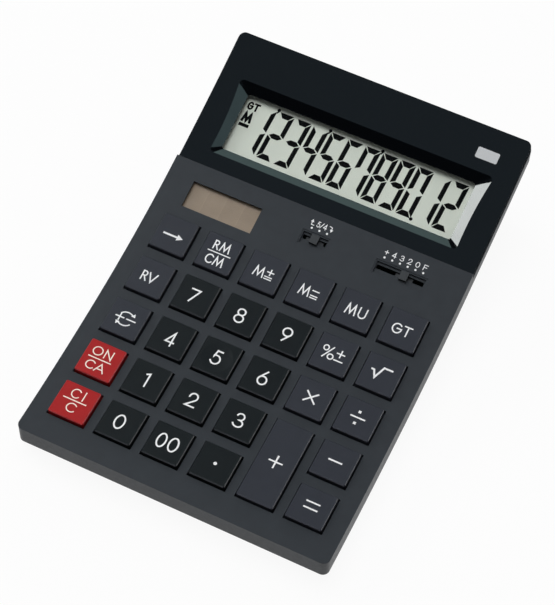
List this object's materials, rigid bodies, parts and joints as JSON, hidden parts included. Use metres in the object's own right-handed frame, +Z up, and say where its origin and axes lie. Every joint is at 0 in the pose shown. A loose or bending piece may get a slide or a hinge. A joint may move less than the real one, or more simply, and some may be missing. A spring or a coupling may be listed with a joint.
{
  "type": "desk calculator",
  "caption": "Desk calculator with a concave wedge case, a fixed sloped display with a recessed window, travelling keys, a solar cell and two slide switches.",
  "frame": {"origin": "centre of the bounding box footprint, on the table plane under the feet", "axes": "+X to the user's right, +Y away from the user towards the display, +Z up"},
  "size_m": [0.1176, 0.1722, 0.0413],
  "materials": {
    "charcoal_case": "fine textured charcoal",
    "dark_base": "fine textured near-black",
    "gloss_panel": "high gloss near-black",
    "clear_window": "clear polished",
    "lcd_glass": "pale green-grey polariser",
    "reflector": "satin pale reflector",
    "frame_plastic": "moulded black",
    "zebra_rubber": "layered elastomer",
    "board_laminate": "solder resist green",
    "capacitor_sleeve": "printed sleeve",
    "chip_resin": "moulded resin",
    "ribbon_film": "flat cable film",
    "solar_cell": "brown amorphous cells",
    "keypad_rubber": "silicone grey",
    "switch_plastic": "textured charcoal",
    "contact_metal": "plated spring metal",
    "cell_steel": "nickel plated",
    "screw_steel": "zinc plated",
    "foot_rubber": "matt rubber",
    "function_key": "fine textured dark grey",
    "number_key": "fine textured near-black",
    "red_key": "fine textured red"
  },
  "bodies": {
    "case": {"battery_contact_side": "contact_metal", "battery_contact_top": "contact_metal", "battery_door": "dark_base", "battery_door_screw": "screw_steel", "board_screws": "screw_steel", "button_cell": "cell_steel", "capacitor": "capacitor_sleeve", "case_screws": "screw_steel", "circuit_board": "board_laminate", "controller_chip": "chip_resin", "display_board": "board_laminate", "display_board_screws": "screw_steel", "display_panel": "gloss_panel", "display_window": "clear_window", "keypad_rubber": "keypad_rubber", "lcd_frame": "frame_plastic", "lcd_glass": "lcd_glass", "lcd_reflector": "reflector", "lower_housing": "dark_base", "ribbon_cable": "ribbon_film", "rubber_feet": "foot_rubber", "solar_cell": "solar_cell", "solar_window": "clear_window", "upper_housing": "charcoal_case", "zebra_strips": "zebra_rubber"},
    "key_backspace": {"key_backspace": "function_key"},
    "key_clear_entry": {"key_clear_entry": "red_key"},
    "key_decimal_point": {"key_decimal_point": "number_key"},
    "key_divide": {"key_divide": "function_key"},
    "key_double_zero": {"key_double_zero": "number_key"},
    "key_eight": {"key_eight": "number_key"},
    "key_equals": {"key_equals": "function_key"},
    "key_five": {"key_five": "number_key"},
    "key_four": {"key_four": "number_key"},
    "key_grand_total": {"key_grand_total": "function_key"},
    "key_mark_up": {"key_mark_up": "function_key"},
    "key_memory_plus_minus": {"key_memory_plus_minus": "function_key"},
    "key_memory_recall": {"key_memory_recall": "function_key"},
    "key_memory_total": {"key_memory_total": "function_key"},
    "key_minus": {"key_minus": "function_key"},
    "key_multiply": {"key_multiply": "function_key"},
    "key_nine": {"key_nine": "number_key"},
    "key_on_clear_all": {"key_on_clear_all": "red_key"},
    "key_one": {"key_one": "number_key"},
    "key_percent": {"key_percent": "function_key"},
    "key_plus": {"key_plus": "function_key"},
    "key_reverse": {"key_reverse": "function_key"},
    "key_seven": {"key_seven": "number_key"},
    "key_sign_change": {"key_sign_change": "function_key"},
    "key_six": {"key_six": "number_key"},
    "key_square_root": {"key_square_root": "function_key"},
    "key_three": {"key_three": "number_key"},
    "key_two": {"key_two": "number_key"},
    "key_zero": {"key_zero": "number_key"},
    "rounding_switch": {"rounding_switch": "switch_plastic", "rounding_wiper": "contact_metal"},
    "decimal_switch": {"decimal_switch": "switch_plastic", "decimal_wiper": "contact_metal"}
  },
  "joints": [
    {"name": "key_backspace_press", "type": "slide", "parent": "case", "child": "key_backspace", "axis": [0, 0.0523, -0.9986], "range_m": [0, 0.0018], "stiffness_N_per_m": 320, "springref_m": -0.0006, "deforming": ["keypad_rubber"]},
    {"name": "key_clear_entry_press", "type": "slide", "parent": "case", "child": "key_clear_entry", "axis": [0, 0.0523, -0.9986], "range_m": [0, 0.0018], "stiffness_N_per_m": 320, "springref_m": -0.0006, "deforming": ["keypad_rubber"]},
    {"name": "key_decimal_point_press", "type": "slide", "parent": "case", "child": "key_decimal_point", "axis": [0, 0.0523, -0.9986], "range_m": [0, 0.0018], "stiffness_N_per_m": 320, "springref_m": -0.0006, "deforming": ["keypad_rubber"]},
    {"name": "key_divide_press", "type": "slide", "parent": "case", "child": "key_divide", "axis": [0, 0.0523, -0.9986], "range_m": [0, 0.0018], "stiffness_N_per_m": 320, "springref_m": -0.0006, "deforming": ["keypad_rubber"]},
    {"name": "key_double_zero_press", "type": "slide", "parent": "case", "child": "key_double_zero", "axis": [0, 0.0523, -0.9986], "range_m": [0, 0.0018], "stiffness_N_per_m": 320, "springref_m": -0.0006, "deforming": ["keypad_rubber"]},
    {"name": "key_eight_press", "type": "slide", "parent": "case", "child": "key_eight", "axis": [0, 0.0523, -0.9986], "range_m": [0, 0.0018], "stiffness_N_per_m": 320, "springref_m": -0.0006, "deforming": ["keypad_rubber"]},
    {"name": "key_equals_press", "type": "slide", "parent": "case", "child": "key_equals", "axis": [0, 0.0523, -0.9986], "range_m": [0, 0.0018], "stiffness_N_per_m": 320, "springref_m": -0.0006, "deforming": ["keypad_rubber"]},
    {"name": "key_five_press", "type": "slide", "parent": "case", "child": "key_five", "axis": [0, 0.0523, -0.9986], "range_m": [0, 0.0018], "stiffness_N_per_m": 320, "springref_m": -0.0006, "deforming": ["keypad_rubber"]},
    {"name": "key_four_press", "type": "slide", "parent": "case", "child": "key_four", "axis": [0, 0.0523, -0.9986], "range_m": [0, 0.0018], "stiffness_N_per_m": 320, "springref_m": -0.0006, "deforming": ["keypad_rubber"]},
    {"name": "key_grand_total_press", "type": "slide", "parent": "case", "child": "key_grand_total", "axis": [0, 0.0523, -0.9986], "range_m": [0, 0.0018], "stiffness_N_per_m": 320, "springref_m": -0.0006, "deforming": ["keypad_rubber"]},
    {"name": "key_mark_up_press", "type": "slide", "parent": "case", "child": "key_mark_up", "axis": [0, 0.0523, -0.9986], "range_m": [0, 0.0018], "stiffness_N_per_m": 320, "springref_m": -0.0006, "deforming": ["keypad_rubber"]},
    {"name": "key_memory_plus_minus_press", "type": "slide", "parent": "case", "child": "key_memory_plus_minus", "axis": [0, 0.0523, -0.9986], "range_m": [0, 0.0018], "stiffness_N_per_m": 320, "springref_m": -0.0006, "deforming": ["keypad_rubber"]},
    {"name": "key_memory_recall_press", "type": "slide", "parent": "case", "child": "key_memory_recall", "axis": [0, 0.0523, -0.9986], "range_m": [0, 0.0018], "stiffness_N_per_m": 320, "springref_m": -0.0006, "deforming": ["keypad_rubber"]},
    {"name": "key_memory_total_press", "type": "slide", "parent": "case", "child": "key_memory_total", "axis": [0, 0.0523, -0.9986], "range_m": [0, 0.0018], "stiffness_N_per_m": 320, "springref_m": -0.0006, "deforming": ["keypad_rubber"]},
    {"name": "key_minus_press", "type": "slide", "parent": "case", "child": "key_minus", "axis": [0, 0.0523, -0.9986], "range_m": [0, 0.0018], "stiffness_N_per_m": 320, "springref_m": -0.0006, "deforming": ["keypad_rubber"]},
    {"name": "key_multiply_press", "type": "slide", "parent": "case", "child": "key_multiply", "axis": [0, 0.0523, -0.9986], "range_m": [0, 0.0018], "stiffness_N_per_m": 320, "springref_m": -0.0006, "deforming": ["keypad_rubber"]},
    {"name": "key_nine_press", "type": "slide", "parent": "case", "child": "key_nine", "axis": [0, 0.0523, -0.9986], "range_m": [0, 0.0018], "stiffness_N_per_m": 320, "springref_m": -0.0006, "deforming": ["keypad_rubber"]},
    {"name": "key_on_clear_all_press", "type": "slide", "parent": "case", "child": "key_on_clear_all", "axis": [0, 0.0523, -0.9986], "range_m": [0, 0.0018], "stiffness_N_per_m": 320, "springref_m": -0.0006, "deforming": ["keypad_rubber"]},
    {"name": "key_one_press", "type": "slide", "parent": "case", "child": "key_one", "axis": [0, 0.0523, -0.9986], "range_m": [0, 0.0018], "stiffness_N_per_m": 320, "springref_m": -0.0006, "deforming": ["keypad_rubber"]},
    {"name": "key_percent_press", "type": "slide", "parent": "case", "child": "key_percent", "axis": [0, 0.0523, -0.9986], "range_m": [0, 0.0018], "stiffness_N_per_m": 320, "springref_m": -0.0006, "deforming": ["keypad_rubber"]},
    {"name": "key_plus_press", "type": "slide", "parent": "case", "child": "key_plus", "axis": [0, 0.0523, -0.9986], "range_m": [0, 0.0018], "stiffness_N_per_m": 320, "springref_m": -0.0006, "deforming": ["keypad_rubber"]},
    {"name": "key_reverse_press", "type": "slide", "parent": "case", "child": "key_reverse", "axis": [0, 0.0523, -0.9986], "range_m": [0, 0.0018], "stiffness_N_per_m": 320, "springref_m": -0.0006, "deforming": ["keypad_rubber"]},
    {"name": "key_seven_press", "type": "slide", "parent": "case", "child": "key_seven", "axis": [0, 0.0523, -0.9986], "range_m": [0, 0.0018], "stiffness_N_per_m": 320, "springref_m": -0.0006, "deforming": ["keypad_rubber"]},
    {"name": "key_sign_change_press", "type": "slide", "parent": "case", "child": "key_sign_change", "axis": [0, 0.0523, -0.9986], "range_m": [0, 0.0018], "stiffness_N_per_m": 320, "springref_m": -0.0006, "deforming": ["keypad_rubber"]},
    {"name": "key_six_press", "type": "slide", "parent": "case", "child": "key_six", "axis": [0, 0.0523, -0.9986], "range_m": [0, 0.0018], "stiffness_N_per_m": 320, "springref_m": -0.0006, "deforming": ["keypad_rubber"]},
    {"name": "key_square_root_press", "type": "slide", "parent": "case", "child": "key_square_root", "axis": [0, 0.0523, -0.9986], "range_m": [0, 0.0018], "stiffness_N_per_m": 320, "springref_m": -0.0006, "deforming": ["keypad_rubber"]},
    {"name": "key_three_press", "type": "slide", "parent": "case", "child": "key_three", "axis": [0, 0.0523, -0.9986], "range_m": [0, 0.0018], "stiffness_N_per_m": 320, "springref_m": -0.0006, "deforming": ["keypad_rubber"]},
    {"name": "key_two_press", "type": "slide", "parent": "case", "child": "key_two", "axis": [0, 0.0523, -0.9986], "range_m": [0, 0.0018], "stiffness_N_per_m": 320, "springref_m": -0.0006, "deforming": ["keypad_rubber"]},
    {"name": "key_zero_press", "type": "slide", "parent": "case", "child": "key_zero", "axis": [0, 0.0523, -0.9986], "range_m": [0, 0.0018], "stiffness_N_per_m": 320, "springref_m": -0.0006, "deforming": ["keypad_rubber"]},
    {"name": "rounding_slide", "type": "slide", "parent": "case", "child": "rounding_switch", "axis": [1, 0, 0], "range_m": [-0.003, 0.003]},
    {"name": "decimal_slide", "type": "slide", "parent": "case", "child": "decimal_switch", "axis": [1, 0, 0], "range_m": [-0.009, 0.006]}
  ]
}
